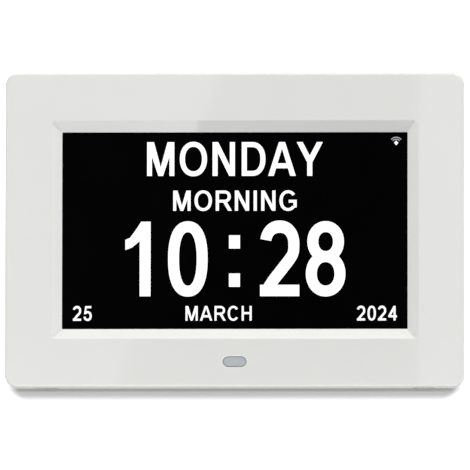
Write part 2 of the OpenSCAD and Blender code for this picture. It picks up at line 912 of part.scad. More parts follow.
module stand_leg() {
    color("white")
        difference() {
            open_leg()
                difference() {
                    leg_solid();
                    leg_pockets();
                    translate([0, hinge_y, hinge_z])
                        rotate([0, 90, 0])
                            cylinder(r = pin_r + turn_slack, h = leg_w + 2, center = true);
                }
            // the heel's flat, which meets the channel's floor when the leg is open
            translate([-leg_w, channel_y + 0.1 - 20, hinge_z + barrel_r / 2])
                cube([2 * leg_w, 20, 20]);
        }
}

// Rubber shoe on the leg's tip, cut level with the floor
module leg_shoe() {
    color("gray")
        difference() {
            open_leg()
                difference() {
                    intersection() {
                        slab(leg_y0 - 0.6, leg_y1 + shoe_proud)
                            leg_outline(leg_floor_l + 4, shoe_t);
                        block([0, hinge_z - leg_l], 0, [far, far, 2 * shoe_up]);
                    }
                    slab(leg_y0, leg_y1)
                        leg_outline(leg_l);
                }
            below_floor();
        }
}

// ------------------------------------------------------------- main board

module main_board() {
    color("darkgreen")
        difference() {
            translate([board_x0, board_y, board_z0])
                cube([board_x1 - board_x0, board_t, board_h]);
            for (s = board_spots)
                post(s, screw_r + 0.3, board_y - 1, board_back_y + 1);
        }
}

module board_screws() {
    color("gray")
        screws(board_spots, board_y, screw_head_r - 0.2, screw_r, 5, flip = true);
}

// A place on the main board: a share of the room between the socket bay and the
// leg's channel, and a height above the board's lower edge
function board_spot(share, z) = [board_x1 - share * board_room, board_z0 + z];

module on_board(share, z, size) {
    block(board_spot(share, z), board_back_y, size);
}

module main_chip() {
    color("black") {
        on_board(0.715, 54, [14, 1.5, 14]);
        on_board(0.715, 54, [16, 0.3, 16]);
    }
}

module memory_chips() {
    color("black") {
        on_board(0.814, 33, [10, 1.2, 16]);
        on_board(0.592, 36, [5, 1.6, 6]);
    }
}

module capacitors() {
    color("silver")
        for (s = [[0.896, 8], [0.765, 8], [0.633, 6]])
            post(board_spot(s[0], s[1]), 3, board_back_y, board_back_y + 5.4);
}

module inductor() {
    color("darkslategray")
        slab(board_back_y, board_back_y + 4)
            outline_at(board_spot(0.83, 18))
                rounded_rect(8, 8, 2);
}

module crystal() {
    color("lightgray")
        slab(board_back_y, board_back_y + 3.5)
            outline_at(board_spot(0.63, 43.5))
                stadium(11, 4.6);
}

// Coin cell that keeps the time when the mains fails
cell_spot = board_spot(0.47, 20.5);
cell_r = 10;

module cell_holder() {
    color("dimgray")
        difference() {
            slab(board_back_y, board_back_y + 4.8)
                outline_at(cell_spot)
                    union() {
                        circle(r = cell_r + 1.4);
                        square([2 * cell_r + 2.8, 8], center = true);
                    }
            post(cell_spot, cell_r + slack, board_back_y + 1.2, board_back_y + 6);
        }
}

module backup_cell() {
    color("silver") {
        post(cell_spot, cell_r, board_back_y + 1.2, board_back_y + 4);
        post(cell_spot, cell_r - 1.2, board_back_y + 4 - eps, board_back_y + 4.4);
    }
}

module wire_headers() {
    color("ivory") {
        block([board_x0 + 4, speaker_plug_z], board_back_y, [4.5, 4, 6]);
        block([board_x0 + 4, key_z - 14], board_back_y, [4.5, 4, 12]);
    }
}

// ----------------------------------------------------------------- sockets

module dc_jack() {
    color("black")
        difference() {
            translate([socket_x - jack_size[0], board_back_y, jack_z - jack_size[2] / 2])
                cube(jack_size);
            translate([socket_x - jack_depth, jack_y, jack_z])
                rotate([0, 90, 0])
                    cylinder(r = jack_r, h = jack_depth + 1);
            translate([socket_x - jack_depth - jack_root_l, jack_y, jack_z])
                rotate([0, 90, 0])
                    cylinder(r = jack_root_r + pin_slack, h = jack_root_l + 1);
        }
}

module dc_jack_pin() {
    color("silver")
        translate([socket_x - jack_depth, jack_y, jack_z])
            rotate([0, 90, 0]) {
                cylinder(r = jack_pin_r, h = jack_depth - 0.8);
                translate([0, 0, -jack_root_l])
                    cylinder(r = jack_root_r, h = jack_root_l);
            }
}

module usb_shell() {
    color("silver")
        difference() {
            translate([socket_x - usb_size[0], board_back_y, usb_z - usb_size[2] / 2])
                cube(usb_size);
            translate([socket_x - usb_size[0] + usb_shell_t, board_back_y + usb_shell_t,
                usb_z - usb_size[2] / 2 + usb_shell_t])
                cube([usb_size[0], usb_size[1] - 2 * usb_shell_t,
                    usb_size[2] - 2 * usb_shell_t]);
        }
}

module usb_tongue() {
    color("white") {
        translate([socket_x - usb_size[0] + usb_shell_t, board_back_y + usb_shell_t,
            usb_z - usb_size[2] / 2 + usb_shell_t])
            cube([3.5, usb_size[1] - 2 * usb_shell_t, usb_size[2] - 2 * usb_shell_t]);
        translate([socket_x - usb_size[0] + 3, board_back_y + usb_size[1] - 2.7,
            usb_z - 5.6])
            cube([usb_size[0] - 4, 1.9, 11.2]);
    }
}

module card_socket() {
    color("silver")
        difference() {
            translate([socket_x - card_size[0], board_back_y, card_z - card_size[2] / 2])
                cube(card_size);
            translate([socket_x - card_size[0] + 2, board_back_y + card_skin,
                card_z - card_size[2] / 2 + 1.2])
                cube([card_size[0], card_size[1] - 2 * card_skin, card_size[2] - 2.4]);
        }
}

// -------------------------------------------------------------------- keys

module key_board() {
    color("darkgreen")
        difference() {
            block([key_x, key_z], key_board_y,
                [key_board_w, board_t, key_board_h]);
            for (s = key_board_spots)
                post(s, 1.1, key_board_y - 1, switch_y + 1);
        }
}

module key_board_screws() {
    color("gray")
        screws(key_board_spots, key_board_y, 1.9, 0.85, 4.5, flip = true);
}

module switch_bodies() {
    color("dimgray")
        for (i = [0:key_count - 1])
            difference() {
                block([key_x, key_spot(i)], switch_y, switch_size);
                post([key_x, key_spot(i)], plunger_r + 0.1,
                    plunger_y1 - plunger_l - key_travel - 0.1,
                    switch_y + switch_size[1] + 1);
            }
}

module plunger(i) {
    color("black")
        post([key_x, key_spot(i)], plunger_r, plunger_y1 - plunger_l, plunger_y1);
}

// A key: a domed cap in the cover's hole, a flange behind it and a short stem
module key(i) {
    dome = min(0.5, key_proud - 0.2);
    color("gainsboro")
        at([key_x, key_spot(i)]) {
            slab(inner_y - 0.1 - key_flange, key_top_y - dome)
                stadium(key_w, key_h);
            slab(inner_y - 0.1 - key_flange, inner_y - 0.1)
                stadium(key_w + 1.6, min(key_h + 1.6, key_pitch - 0.6));
            slab(key_top_y - dome - eps, key_top_y)
                stadium(key_w - 1.2, key_h - 1.2);
            post([0, 0], 1.5, plunger_y1, inner_y - key_flange);
        }
}

// Flat cable from the key board to the main board
module key_cable() {
    x0 = key_x + key_board_w / 2 - 2.4;
    x1 = board_x0 + 1.3;
    y0 = switch_y + 0.35;
    y1 = board_back_y + 0.35;
    steps = 10;
    run = [for (k = [0:steps])
        let (t = k / steps, s = t * t * (3 - 2 * t)) [x0 + 3 + (x1 - x0 - 6) * t, y0 + (y1 - y0) * s]];
    color("lightgray")
        translate([0, 0, key_z - 19])
            linear_extrude(10)
                for (i = [0:len(run) + 0])
                    hull() {
                        translate(i == 0 ? [x0, y0] : run[i - 1]) circle(d = 0.6, $fn = 16);
                        translate(i == len(run) ? [x1, y1] : run[i]) circle(d = 0.6, $fn = 16);
                    }
}

// ----------------------------------------------------------------- speaker

module speaker_frame() {
    back = inner_y - speaker_depth;
    color("silver")
        turned([speaker_x, speaker_z])
            polygon([[speaker_r - 2, inner_y], [speaker_r, inner_y],
                [speaker_r, inner_y - speaker_rim], [speaker_r - 1.6, inner_y - speaker_rim],
                [8.6, back + 3], [0, back + 3], [0, back + 3.6], [8.2, back + 3.6],
                [speaker_r - 2, inner_y - speaker_rim + 0.4]]);
}

module speaker_cone() {
    rim = speaker_r - 2.3;
    color("black")
        turned([speaker_x, speaker_z])
            polygon([[0, inner_y - 1.1], [2.4, inner_y - 1.5], [4, inner_y - 2.3],
                [rim, inner_y - 0.7], [rim, inner_y - 0.3], [4, inner_y - 1.8],
                [2.6, inner_y - 1], [0, inner_y - 0.6]]);
}

module speaker_magnet() {
    back = inner_y - speaker_depth;
    color("dimgray") {
        post([speaker_x, speaker_z], 8, back, back + 2.2);
        post([speaker_x, speaker_z], 7, back + 2.2 - eps, back + 3);
    }
}

module speaker_screws() {
    color("gray")
        screws(speaker_spots, inner_y - speaker_rim, 3.7, 0.85, 2, flip = true);
}

// Two leads from the speaker to the main board
module speaker_leads() {
    x0 = speaker_x + 8.4;
    x1 = board_x0 + 1.7;
    y0 = inner_y - speaker_depth + 1;
    y1 = board_back_y + 1.2;
    z0 = speaker_z + 2;
    steps = 12;
    color("firebrick")
        for (k = [-1, 1])
            tube([for (i = [0:steps])
                let (t = i / steps, s = t * t * (3 - 2 * t))
                [x0 + (x1 - x0) * t, y0 + (y1 - y0) * s,
                    z0 + (speaker_plug_z - z0) * s + 1.1 * k]],
                0.45);
}

// ---------------------------------------------------------------- assembly

module piece(name) {
    stand() children();
}

piece("front_frame") front_frame();
piece("ir_window") ir_window();
piece("screen_gasket") screen_gasket();
piece("lcd_frame") lcd_frame();
piece("lcd_glass") lcd_glass();
piece("light_guide") light_guide();
piece("backlight_tray") backlight_tray();
piece("lcd_ribbon") lcd_ribbon();
piece("lcd_clamps") lcd_clamps();
piece("clamp_screws") clamp_screws();
piece("ir_board") ir_board();
piece("ir_receiver") ir_receiver();
piece("ir_board_screws") ir_board_screws();
piece("ir_cable") ir_cable();
piece("rear_cover") rear_cover();
piece("case_screws") case_screws();
piece("foot_pads") foot_pads();
piece("hinge_pin") hinge_pin();
piece("main_board") main_board();
piece("board_screws") board_screws();
piece("main_chip") main_chip();
piece("memory_chips") memory_chips();
piece("capacitors") capacitors();
piece("inductor") inductor();
piece("crystal") crystal();
piece("cell_holder") cell_holder();
piece("backup_cell") backup_cell();
piece("lcd_connector") lcd_connector();
piece("wire_headers") wire_headers();
piece("dc_jack") dc_jack();
piece("dc_jack_pin") dc_jack_pin();
piece("usb_shell") usb_shell();
piece("usb_tongue") usb_tongue();
piece("card_socket") card_socket();
piece("key_board") key_board();
piece("switch_bodies") switch_bodies();
piece("key_board_screws") key_board_screws();
piece("key_cable") key_cable();
piece("speaker_frame") speaker_frame();
piece("speaker_cone") speaker_cone();
piece("speaker_magnet") speaker_magnet();
piece("speaker_screws") speaker_screws();
piece("speaker_leads") speaker_leads();
piece("stand_leg") stand_leg();
piece("leg_shoe") leg_shoe();

key_names = ["power", "menu", "up", "down", "left", "right", "exit"];
for (i = [0:key_count - 1]) {
    piece(str("key_", key_names[i])) key(i);
    piece(str("plunger_", key_names[i])) plunger(i);
}
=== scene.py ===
"""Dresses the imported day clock: materials, the lit calendar, key symbols, studio and camera."""

import json
import math

import bpy
from mathutils import Matrix, Vector
from mathutils.geometry import delaunay_2d_cdt


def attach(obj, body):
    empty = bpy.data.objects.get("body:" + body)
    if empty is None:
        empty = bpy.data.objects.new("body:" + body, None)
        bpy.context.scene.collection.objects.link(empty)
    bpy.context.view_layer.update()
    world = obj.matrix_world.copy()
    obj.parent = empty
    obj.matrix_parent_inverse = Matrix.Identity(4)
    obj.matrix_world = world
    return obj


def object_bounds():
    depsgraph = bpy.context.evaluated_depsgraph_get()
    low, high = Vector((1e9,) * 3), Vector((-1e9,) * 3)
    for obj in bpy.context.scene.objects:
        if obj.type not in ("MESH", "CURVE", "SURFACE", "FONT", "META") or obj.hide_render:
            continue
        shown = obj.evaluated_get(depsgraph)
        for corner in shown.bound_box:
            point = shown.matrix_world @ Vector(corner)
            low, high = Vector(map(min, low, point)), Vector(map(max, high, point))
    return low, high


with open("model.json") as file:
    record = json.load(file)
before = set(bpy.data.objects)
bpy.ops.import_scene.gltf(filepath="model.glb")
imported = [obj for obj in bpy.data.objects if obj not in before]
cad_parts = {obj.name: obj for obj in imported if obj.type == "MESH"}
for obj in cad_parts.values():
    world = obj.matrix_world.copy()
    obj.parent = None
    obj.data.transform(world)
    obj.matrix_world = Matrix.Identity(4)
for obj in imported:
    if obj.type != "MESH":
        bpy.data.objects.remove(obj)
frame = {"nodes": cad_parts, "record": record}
cad_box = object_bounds()
NODES = frame["nodes"]
MM = 0.001

# ------------------------------------------------------------- case frame
# x right, y from the face into the case, z up along the face, in millimetres

CASE_W, CASE_H = 205.0, 141.5
WINDOW_W, WINDOW_H = 154.4, 88.8
BACK_Y = 24.0
GLASS_Y = 5.5
HOOK = Vector((-52.0, 23.0, 112.0))


def case_matrix():
    """Case frame to row frame, read from the keyhole's mount."""
    hook = next(m for m in frame["record"]["mounts"] if m["name"] == "keyhole_left")
    back = Vector(hook["axis"]).normalized()
    right = Vector((1, 0, 0))
    up = right.cross(back)
    turn = Matrix((right, back, up)).transposed()
    m = (turn * MM).to_4x4()
    m.translation = Vector(hook["pos_m"]) - turn @ (HOOK * MM)
    return m


CASE = case_matrix()
TURN = CASE.to_3x3() * (1 / MM)

# -------------------------------------------------------------- materials
# Noise scales are in cells per metre, and bump depths in metres

MOTTLE_SCALE, STREAK_SCALE, WAVE_SCALE = 35.0, 110.0, 28.0
ROUGH_SPREAD, SMOOTHEST = 0.05, 0.02


def new_material(name):
    mat = bpy.data.materials.new(name)
    mat.use_nodes = True
    return mat


def shader(mat):
    return mat.node_tree.nodes["Principled BSDF"]


def set_sockets(n, **values):
    """Sets a node's own sockets; an underscore in a key stands for a space."""
    for key, value in values.items():
        n.inputs[key.replace("_", " ")].default_value = value
    return n


def node(owner, kind, **values):
    """A new node of a material or of the world."""
    return set_sockets(owner.node_tree.nodes.new(kind), **values)


def link(owner, output, socket):
    owner.node_tree.links.new(output, socket)


def coords(mat, stretch=(1, 1, 1), turn=(0, 0, 0)):
    """Object coordinates, in metres, stretched for brushed looks or turned onto another plane."""
    source = node(mat, "ShaderNodeTexCoord")
    mapping = node(mat, "ShaderNodeMapping", Scale=stretch, Rotation=turn)
    link(mat, source.outputs["Object"], mapping.inputs["Vector"])
    return mapping.outputs["Vector"]


def noise(mat, vector, scale, detail=2.0, rough=0.5):
    n = node(mat, "ShaderNodeTexNoise", Scale=scale, Detail=detail, Roughness=rough)
    link(mat, vector, n.inputs["Vector"])
    return n.outputs["Fac"]


def ramp(mat, value, low, high, start=0.3, end=0.7):
    """One colour below start, another above end, and a blend between them."""
    r = node(mat, "ShaderNodeValToRGB")
    for element, place, color in zip(r.color_ramp.elements, (start, end), (low, high)):
        element.position = place
        element.color = (*color, 1.0)
    link(mat, value, r.inputs["Fac"])
    return r.outputs["Color"]


def bump(mat, height, strength, distance, after=None):
    b = node(mat, "ShaderNodeBump", Strength=strength, Distance=distance)
    link(mat, height, b.inputs["Height"])
    if after is not None:
        link(mat, after, b.inputs["Normal"])
    return b.outputs["Normal"]


def shade(color, factor):
    return tuple(min(1.0, v * factor) for v in color)


def grey(value):
    return (value, value, value)


def moulded(name, color, rough, grain=900.0, grain_depth=0.00001, wave=0.0, tint=0.03,
            specular=0.5, coat=0.0, coat_rough=0.06):
    """Moulded plastic: a little mottled in colour and gloss, with the mould's grain."""
    mat = new_material(name)
    s = set_sockets(shader(mat), Specular_IOR_Level=specular, Coat_Weight=coat,
                    Coat_Roughness=coat_rough)
    v = coords(mat)
    mottle = noise(mat, v, MOTTLE_SCALE, 3.0)
    link(mat, ramp(mat, mottle, shade(color, 1 - tint), shade(color, 1 + tint)),
         s.inputs["Base Color"])
    streak = noise(mat, v, STREAK_SCALE, 4.0)
    smooth, dull = max(SMOOTHEST, rough - ROUGH_SPREAD), rough + ROUGH_SPREAD
    link(mat, ramp(mat, streak, grey(smooth), grey(dull)), s.inputs["Roughness"])
    normal = bump(mat, noise(mat, v, grain, 2.0, 0.6), 1.0, grain_depth)
    if wave:
        normal = bump(mat, noise(mat, v, WAVE_SCALE, 1.0), 1.0, wave, normal)
    link(mat, normal, s.inputs["Normal"])
    return mat


def metal(name, color, rough, stretch=(1, 1, 1), scale=700.0, depth=0.000004):
    """Sheet, turned or plated metal with brush lines across the stretched axis."""
    mat = new_material(name)
    s = set_sockets(shader(mat), Metallic=1.0)
    v = coords(mat, stretch)
    lines = noise(mat, v, scale, 4.0, 0.6)
    link(mat, ramp(mat, lines, shade(color, 0.88), shade(color, 1.06)), s.inputs["Base Color"])
    patches = noise(mat, v, scale * 0.4, 2.0)
    link(mat, ramp(mat, patches, grey(rough * 0.75), grey(rough * 1.3)), s.inputs["Roughness"])
    link(mat, bump(mat, lines, 0.6, depth), s.inputs["Normal"])
    return mat


def board(name, color):
    """Solder mask over copper: tracks and pads show through as lighter lines."""
    mat = new_material(name)
    s = set_sockets(shader(mat), Roughness=0.28)
    brick = node(mat, "ShaderNodeTexBrick", Scale=130.0, Color1=(0, 0, 0, 1),
                 Color2=(0.12, 0.12, 0.12, 1), Mortar=(1, 1, 1, 1), Mortar_Size=0.03)
    link(mat, coords(mat, turn=(math.radians(90), 0, 0)), brick.inputs["Vector"])
    tracks = ramp(mat, brick.outputs["Color"], color, shade(color, 2.2), 0.0, 1.0)
    link(mat, tracks, s.inputs["Base Color"])
    link(mat, bump(mat, noise(mat, coords(mat), 1500.0), 1.0, 0.000006), s.inputs["Normal"])
    return mat


def rubber(name, color):
    mat = moulded(name, color, 0.75, grain=1800.0, grain_depth=0.00004, tint=0.06, specular=0.3)
    set_sockets(shader(mat), Sheen_Weight=0.15)
    return mat


def film(name, color, across):
    """A ribbon with conductors printed across the given axis."""
    mat = new_material(name)
    s = set_sockets(shader(mat), Roughness=0.25)
    wave = node(mat, "ShaderNodeTexWave", Scale=900.0, Distortion=0.0)
    wave.bands_direction = across
    link(mat, coords(mat), wave.inputs["Vector"])
    link(mat, ramp(mat, wave.outputs["Fac"], shade(color, 0.6), color, 0.35, 0.65),
         s.inputs["Base Color"])
    return mat


def lit(name, color, strength):
    """Light from the display's own pixels."""
    mat = new_material(name)
    s = set_sockets(shader(mat), Base_Color=(0.02, 0.02, 0.02, 1), Specular_IOR_Level=0.0,
                    Emission_Strength=strength)
    glow = ramp(mat, noise(mat, coords(mat), 2500.0, 1.0), shade(color, 0.985), color)
    link(mat, glow, s.inputs["Emission Color"])
    return mat


def panel_black():
    """The dark display: a satin black that reflects almost nothing."""
    mat = new_material("display_black")
    s = set_sockets(shader(mat), Specular_IOR_Level=0.012)
    v = coords(mat)
    black = ramp(mat, noise(mat, v, 60.0, 2.0), (0.0002, 0.0002, 0.0003), (0.0005, 0.0005, 0.0006))
    link(mat, black, s.inputs["Base Color"])
    link(mat, ramp(mat, noise(mat, v, 3000.0, 1.0), grey(0.22), grey(0.30)), s.inputs["Roughness"])
    return mat


WHITE = (0.735, 0.742, 0.715)
materials = {
    "gloss_white": moulded("gloss_white", WHITE, 0.08, grain=600.0, grain_depth=0.000002,
                           wave=0.000025, tint=0.006, specular=0.3, coat=0.8, coat_rough=0.02),
    "satin_white": moulded("satin_white", shade(WHITE, 0.97), 0.42, grain=2600.0,
                           grain_depth=0.000018, tint=0.012),
    "ir_lens": moulded("ir_lens", (0.45, 0.485, 0.505), 0.12, grain=400.0, grain_depth=0.000002,
                       tint=0.05, coat=0.3),
    "black_foam": moulded("black_foam", (0.02, 0.02, 0.02), 0.9, grain=1500.0,
                          grain_depth=0.00008),
    "bright_steel": metal("bright_steel", (0.66, 0.66, 0.67), 0.26, (1, 1, 8)),
    "screen_glass": panel_black(),
    "clear_acrylic": moulded("clear_acrylic", (0.80, 0.82, 0.84), 0.1, tint=0.02),
    "amber_film": film("amber_film", (0.55, 0.26, 0.05), "X"),
    "screw_steel": metal("screw_steel", (0.42, 0.42, 0.43), 0.34, (1, 1, 1), 1500.0, 0.000006),
    "green_board": board("green_board", (0.025, 0.13, 0.055)),
    "dark_resin": moulded("dark_resin", (0.025, 0.025, 0.03), 0.2, tint=0.1),
    "red_wire": moulded("red_wire", (0.45, 0.03, 0.03), 0.4, tint=0.08),
    "grey_rubber": rubber("grey_rubber", (0.62, 0.62, 0.61)),
    "black_plastic": moulded("black_plastic", (0.02, 0.02, 0.02), 0.42, grain=2200.0,
                             grain_depth=0.000015, tint=0.1),
    "brushed_aluminium": metal("brushed_aluminium", (0.72, 0.72, 0.73), 0.3, (1, 1, 10)),
    "ivory_plastic": moulded("ivory_plastic", (0.72, 0.69, 0.58), 0.4, tint=0.04),
    "pale_film": film("pale_film", (0.74, 0.74, 0.75), "Z"),
    "cone_paper": moulded("cone_paper", (0.03, 0.03, 0.03), 0.85, grain=2500.0,
                          grain_depth=0.00006, tint=0.15),
    "dark_metal": metal("dark_metal", (0.12, 0.12, 0.12), 0.45, (1, 1, 1), 900.0),
    "key_grey": moulded("key_grey", (0.40, 0.41, 0.41), 0.35, grain=2200.0,
                        grain_depth=0.000012, tint=0.02),
}

for part in frame["record"]["subparts"]:
    obj = NODES[part["node"]]
    obj.data.materials.clear()
    obj.data.materials.append(materials[part["material_slot"]])

WELD_WITHIN = 0.000002
SHARP_ANGLE = math.radians(24)
LARGE_FACES_FIRST = 100


def shade_round(obj):
    """Curved faces look round, flat ones stay flat, and real edges stay sharp."""
    for poly in obj.data.polygons:
        poly.use_smooth = True
    obj.modifiers.new("weld", "WELD").merge_threshold = WELD_WITHIN
    obj.modifiers.new("edges", "EDGE_SPLIT").split_angle = SHARP_ANGLE
    obj.modifiers.new("flat_faces", "WEIGHTED_NORMAL").weight = LARGE_FACES_FIRST


for obj in NODES.values():
    shade_round(obj)

# ------------------------------------------------------- strokes and letters
# A character is drawn one unit tall from its base line, as polygons: w is its width, stem the
# width of an upright stroke and bar that of a level one. The shares in each are its design.


def oval(cx, cy, rx, ry, a0=0.0, a1=360.0, power=2.35, n=48):
    """Points round an oval, squarer with a higher power, from one angle to another."""
    points = []
    for i in range(n + 1):
        a = math.radians(a0 + (a1 - a0) * i / n)
        c, s = math.cos(a), math.sin(a)
        e = 2.0 / power
        points.append((cx + rx * math.copysign(abs(c) ** e, c),
                       cy + ry * math.copysign(abs(s) ** e, s)))
    return points


def smooth_through(points, n=8):
    """A smooth line through the points, with n steps between each two."""
    out = []
    last = len(points) - 1
    for i in range(last):
        a, b = Vector(points[max(i - 1, 0)]), Vector(points[i])
        c, d = Vector(points[i + 1]), Vector(points[min(i + 2, last)])
        for k in range(n):
            t = k / n
            out.append(tuple(b + 0.5 * t * ((c - a) + t * ((2 * a - 5 * b + 4 * c - d)
                                                           + t * (3 * b - a - 3 * c + d)))))
    out.append(tuple(points[-1]))
    return out


def stroke(points, stem, bar):
    """Quads along a line: stem thick where it runs upright, bar thick where it runs level."""
    closed = (Vector(points[0]) - Vector(points[-1])).length < 1e-6
    left, right = [], []
    last = len(points) - 1
    for i, p in enumerate(points):
        a = points[i - 1] if i > 0 else (points[last - 1] if closed else points[0])
        b = points[i + 1] if i < last else (points[1] if closed else points[last])
        d = (Vector(b) - Vector(a)).normalized()
        half = 0.5 * math.hypot(stem * d.y, bar * d.x)
        left.append((p[0] - d.y * half, p[1] + d.x * half))
        right.append((p[0] + d.y * half, p[1] - d.x * half))
    return [[left[i], right[i], right[i + 1], left[i + 1]] for i in range(last)]


def arc(cx, cz, r, a0, a1, line):
    """A round arc of an even line, from one angle to another."""
    n = max(6, int(abs(a1 - a0) / 10))
    angles = [math.radians(a0 + (a1 - a0) * i / n) for i in range(n + 1)]
    return stroke([(cx + r * math.cos(a), cz + r * math.sin(a)) for a in angles], line, line)


def rect(x0, y0, x1, y1):
    return [(x0, y0), (x1, y0), (x1, y1), (x0, y1)]


def mirrored(poly, w):
    return [(w - x, y) for x, y in reversed(poly)]


def letter_m(w, stem, bar):
    leg = [(0.0, 1.0), (stem * 1.35, 1.0), (w / 2 + stem * 0.46, 0.0), (w / 2 - stem * 0.46, 0.0)]
    side = stem * 0.96
    return [rect(0, 0, side, 1), rect(w - side, 0, w, 1), leg, mirrored(leg, w)]


def letter_o(w, stem, bar):
    return stroke(oval(w / 2, 0.5, (w - stem) / 2, (1.02 - bar) / 2, power=2.15), stem, bar)


def letter_n(w, stem, bar):
    slant = stem * 1.12
    return [rect(0, 0, stem, 1), rect(w - stem, 0, w, 1),
            [(0, 1), (slant, 1), (w, 0), (w - slant, 0)]]


def letter_d(w, stem, bar):
    turn = oval(w * 0.45, 0.5, w * 0.55 - stem / 2, (1 - bar) / 2, -90, 90, 2.2, 32)
    bowl = [(stem / 2, bar / 2)] + turn + [(stem / 2, 1 - bar / 2)]
    return [rect(0, 0, stem, 1)] + stroke(bowl, stem, bar)


def letter_a(w, stem, bar):
    leg = [(0, 0), (stem * 1.1, 0), (w / 2 + stem * 0.38, 1), (w / 2 - stem * 0.6, 1)]
    return [leg, mirrored(leg, w), rect(w * 0.2, 0.225, w * 0.8, 0.225 + bar)]


def letter_y(w, stem, bar):
    mid = w / 2 + 0.04
    arm = [(0, 1), (w / 2 - stem / 2, 0.4), (mid, 0.4), (mid, 0.52), (stem * 1.18, 1)]
    return [rect((w - stem) / 2, 0, (w + stem) / 2, 0.46), arm, mirrored(arm, w)]


def letter_r(w, stem, bar):
    mid = 0.475
    turn = oval(w * 0.52, (1 - bar / 2 + mid) / 2, w * 0.41 - stem / 2, (1 - bar / 2 - mid) / 2,
                -90, 90, 2.2, 32)
    bowl = [(stem / 2, mid)] + turn + [(stem / 2, 1 - bar / 2)]
    leg = [(w * 0.42, 0.46), (w * 0.64, 0.50), (w, 0.0), (w - stem * 1.2, 0.0)]
    return [rect(0, 0, stem, 1), leg] + stroke(bowl, stem, bar)


def letter_i(w, stem, bar):
    return [rect((w - stem) / 2, 0, (w + stem) / 2, 1)]


def letter_g(w, stem, bar):
    ring = oval(w / 2, 0.5, (w - stem) / 2, (1.02 - bar) / 2, 38, 318, 2.15)
    top = 0.40 + bar
    foot = [(w - stem, 0.15), (w, 0.16), (w, top), (w - stem, top)]
    return stroke(ring, stem, bar) + [rect(w * 0.54, 0.40, w, top), foot]


def letter_c(w, stem, bar):
    ring = oval(w / 2 + 0.01, 0.5, (w - stem) / 2, (1.02 - bar) / 2, 36, 324, 2.15)
    return stroke(ring, stem, bar)


def letter_h(w, stem, bar):
    return [rect(0, 0, stem, 1), rect(w - stem, 0, w, 1),
            rect(stem / 2, 0.44, w - stem / 2, 0.44 + bar)]


def digit_0(w, stem, bar):
    return stroke(oval(w / 2, 0.5, (w - stem) / 2, (1.01 - bar) / 2), stem, bar)


def digit_1(w, stem, bar):
    top = w - stem * 0.86
    flag = [(top, 1.0), (w - stem * 1.3, 0.90), (w * 0.19, 0.785), (0.0, 0.755), (0.0, 0.62),
            (w * 0.27, 0.655), (w - stem, 0.74), (w - stem + 0.02, 0.82)]
    head = [(w - stem, 0.7), (w, 0.7), (w, 1), (top, 1)]
    return [rect(w - stem, 0, w, 0.82), head, flag]


def digit_2(w, stem, bar):
    top = oval(w / 2, 1.005 - bar / 2 - 0.235, (w - stem) / 2, 0.235, 168, 0, 2.2, 30)
    tail = smooth_through([top[-1], (w - stem * 0.62, 0.56), (w * 0.60, 0.39), (w * 0.34, 0.215),
                           (stem * 0.5, 0.05)])
    corner = [(0, 0), (stem * 0.7, 0), (stem * 0.85, 0.16), (stem * 0.12, 0.11)]
    return stroke(top + tail[1:], stem, bar * 1.12) + [rect(0, 0, w, bar * 1.04), corner]


def digit_4(w, stem, bar):
    right = w * 0.85
    slant = [(0, 0.34), (0, 0.22), (stem * 0.67, 0.22), (right - stem * 0.35, 0.84), (right, 1.0),
             (right - stem * 0.93, 1.0)]
    return [rect(right - stem, 0, right, 1), rect(0, 0.215, w, 0.215 + bar * 0.98), slant]


def digit_5(w, stem, bar):
    bowl = oval(w / 2 - 0.005, 0.325, (w - stem) / 2, 0.335 - bar / 2, 138, -172, 2.2, 40)
    top, foot = w * 0.2, w * 0.07
    side = [(top, 1.0), (foot, 0.46), (foot + stem * 0.8, 0.44), (top + stem * 0.85, 1.0)]
    return [rect(top, 1 - bar, w * 0.935, 1.0), side] + stroke(bowl, stem, bar)


def digit_8(w, stem, bar):
    mid = 0.53
    upper, lower = (1.005 - bar / 2 - mid) / 2, (mid - bar / 2 + 0.005) / 2
    return (stroke(oval(w / 2, mid + upper, (w - stem) / 2 - 0.02, upper, power=2.1), stem, bar)
            + stroke(oval(w / 2, mid - lower, (w - stem) / 2, lower, power=2.1), stem, bar))


# How each character is drawn, and its gap on the left, width and gap on the right, in heights
GLYPHS = {"M": (letter_m, 0.10, 0.966, 0.10), "O": (letter_o, 0.06, 0.965, 0.06),
          "N": (letter_n, 0.10, 0.80, 0.105), "D": (letter_d, 0.10, 0.845, 0.065),
          "A": (letter_a, 0.0, 0.98, 0.0), "Y": (letter_y, 0.0, 0.93, 0.0),
          "R": (letter_r, 0.10, 0.90, 0.01), "I": (letter_i, 0.095, 0.20, 0.095),
          "G": (letter_g, 0.06, 0.955, 0.07), "C": (letter_c, 0.065, 0.88, 0.06),
          "H": (letter_h, 0.10, 0.803, 0.10), "0": (digit_0, 0.045, 0.68, 0.052),
          "1": (digit_1, 0.11, 0.44, 0.225), "2": (digit_2, 0.035, 0.675, 0.065),
          "4": (digit_4, 0.03, 0.70, 0.045), "5": (digit_5, 0.05, 0.675, 0.05),
          "8": (digit_8, 0.045, 0.68, 0.052)}

# A lit stroke looks this much wider than it is, in the photograph's pixels, so it is drawn thinner
BLOOM_PX = 0.9


def line_of(text, height, narrow, stem, bar):
    """Polygons of a word in pixels, and the width that it seems to have; all sizes are as seen."""
    unit = height - BLOOM_PX
    strokes = (stem - BLOOM_PX) / unit, (bar - BLOOM_PX) / unit
    x, polys = -GLYPHS[text[0]][1] * narrow * height, []
    for character in text:
        draw, *spacing = GLYPHS[character]
        before, w, after = (v * narrow * height for v in spacing)
        x += before
        for poly in draw((w - BLOOM_PX) / unit, *strokes):
            polys.append([(x + BLOOM_PX / 2 + px * unit, BLOOM_PX / 2 + py * unit)
                          for px, py in poly])
        x += w + after
    return polys, x - after


def area(poly):
    """Positive where the points run anticlockwise."""
    return 0.5 * sum(a[0] * b[1] - b[0] * a[1] for a, b in zip(poly, poly[1:] + poly[:1]))


